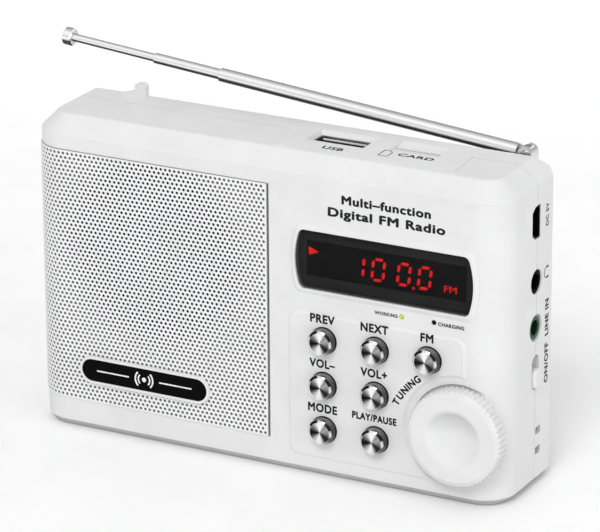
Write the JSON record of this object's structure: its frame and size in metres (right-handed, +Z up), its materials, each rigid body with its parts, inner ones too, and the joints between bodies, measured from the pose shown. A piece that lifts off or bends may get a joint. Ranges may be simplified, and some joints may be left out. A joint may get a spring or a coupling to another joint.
{
  "type": "portable radio",
  "caption": "Pocket-size portable radio with a grille, display window, push buttons, tuning knob, side sockets and a telescopic aerial.",
  "frame": {"origin": "middle of the case's flat underside", "axes": "+X to the right seen from the front, +Y to the back, +Z up; the radio stands on its underside"},
  "size_m": [0.127, 0.0332, 0.0882],
  "materials": {
    "case_plastic": "fine-textured white moulding",
    "grille_metal": "perforated sheet painted white",
    "inlay_gloss": "black gloss inlay, blank",
    "window_glass": "smoked clear plastic",
    "black_plastic": "black moulding",
    "line_in_plastic": "green moulding",
    "lamp_plastic": "clear light pipe",
    "bright_metal": "spun and plated",
    "chrome": "polished plating",
    "steel": "plain steel",
    "brass": "turned",
    "board_laminate": "green glass-fibre laminate",
    "cone_paper": "black pressed paper with a rubber surround",
    "battery_wrap": "blue shrink wrap"
  },
  "bodies": {
    "case": {"antenna_bushing": "brass", "back_shell": "case_plastic", "badge_inlay": "inlay_gloss", "badge_plate": "case_plastic", "battery": "battery_wrap", "battery_contacts": "steel", "board_chips": "black_plastic", "board_screws": "steel", "card_socket": "bright_metal", "case_screws": "steel", "charging_light": "lamp_plastic", "display_window": "window_glass", "front_shell": "case_plastic", "headphone_jack": "black_plastic", "led_display": "black_plastic", "line_in_jack": "line_in_plastic", "main_board": "board_laminate", "mini_usb_socket": "bright_metal", "rotary_encoder": "black_plastic", "slide_switch": "black_plastic", "speaker_basket": "steel", "speaker_cone": "cone_paper", "speaker_grille": "grille_metal", "speaker_magnet": "steel", "tact_switches": "black_plastic", "usb_a_socket": "bright_metal", "working_light": "lamp_plastic"},
    "door": {"battery_door": "case_plastic"},
    "tuner": {"tuning_knob": "case_plastic", "encoder_shaft": "steel"},
    "slider": {"power_slider": "case_plastic"},
    "swivel": {"antenna_swivel": "steel", "antenna_pin": "steel"},
    "antenna": {"antenna_knuckle": "steel", "antenna_outer_tube": "chrome"},
    "middle_stage": {"antenna_middle_tube": "chrome"},
    "tip_stage": {"antenna_rod": "chrome", "antenna_tip": "chrome"},
    "button_fm": {"button_fm": "bright_metal"},
    "button_mode": {"button_mode": "bright_metal"},
    "button_next": {"button_next": "bright_metal"},
    "button_play_pause": {"button_play_pause": "bright_metal"},
    "button_prev": {"button_prev": "bright_metal"},
    "button_volume_down": {"button_volume_down": "bright_metal"},
    "button_volume_up": {"button_volume_up": "bright_metal"}
  },
  "joints": [
    {"name": "button_fm_press", "type": "slide", "parent": "case", "child": "button_fm", "axis": [0, 1, 0], "range_m": [0, 0.0005], "stiffness_N_per_m": 600, "springref_m": -0.0015},
    {"name": "button_mode_press", "type": "slide", "parent": "case", "child": "button_mode", "axis": [0, 1, 0], "range_m": [0, 0.0005], "stiffness_N_per_m": 600, "springref_m": -0.0015},
    {"name": "button_next_press", "type": "slide", "parent": "case", "child": "button_next", "axis": [0, 1, 0], "range_m": [0, 0.0005], "stiffness_N_per_m": 600, "springref_m": -0.0015},
    {"name": "button_play_pause_press", "type": "slide", "parent": "case", "child": "button_play_pause", "axis": [0, 1, 0], "range_m": [0, 0.0005], "stiffness_N_per_m": 600, "springref_m": -0.0015},
    {"name": "button_prev_press", "type": "slide", "parent": "case", "child": "button_prev", "axis": [0, 1, 0], "range_m": [0, 0.0005], "stiffness_N_per_m": 600, "springref_m": -0.0015},
    {"name": "button_volume_down_press", "type": "slide", "parent": "case", "child": "button_volume_down", "axis": [0, 1, 0], "range_m": [0, 0.0005], "stiffness_N_per_m": 600, "springref_m": -0.0015},
    {"name": "button_volume_up_press", "type": "slide", "parent": "case", "child": "button_volume_up", "axis": [0, 1, 0], "range_m": [0, 0.0005], "stiffness_N_per_m": 600, "springref_m": -0.0015},
    {"name": "tuning_knob_turn", "type": "hinge", "parent": "case", "child": "tuner", "pos_m": [0.0496, -0.015, 0.0169], "axis": [0, 1, 0], "continuous": true},
    {"name": "power_slide", "type": "slide", "parent": "case", "child": "slider", "axis": [0, 0, 1], "range_m": [0, 0.003]},
    {"name": "battery_door_lift", "type": "slide", "parent": "case", "child": "door", "axis": [0, 1, 0], "range_m": [0, 0.03]},
    {"name": "antenna_turn", "type": "hinge", "parent": "case", "child": "swivel", "pos_m": [0.0529, 0.012, 0.0752], "axis": [0, 0, 1], "range_deg": [-180, 0]},
    {"name": "antenna_tilt", "type": "hinge", "parent": "swivel", "child": "antenna", "pos_m": [0.0529, 0.012, 0.0752], "axis": [0, 1, 0], "range_deg": [-5, 85]},
    {"name": "middle_stage_slide", "type": "slide", "parent": "antenna", "child": "middle_stage", "axis": [-0.9958, 0, 0.0915], "range_m": [-0.0164, 0.0465]},
    {"name": "tip_stage_slide", "type": "slide", "parent": "middle_stage", "child": "tip_stage", "axis": [-0.9958, 0, 0.0915], "range_m": [-0.0212, 0.0415]}
  ]
}
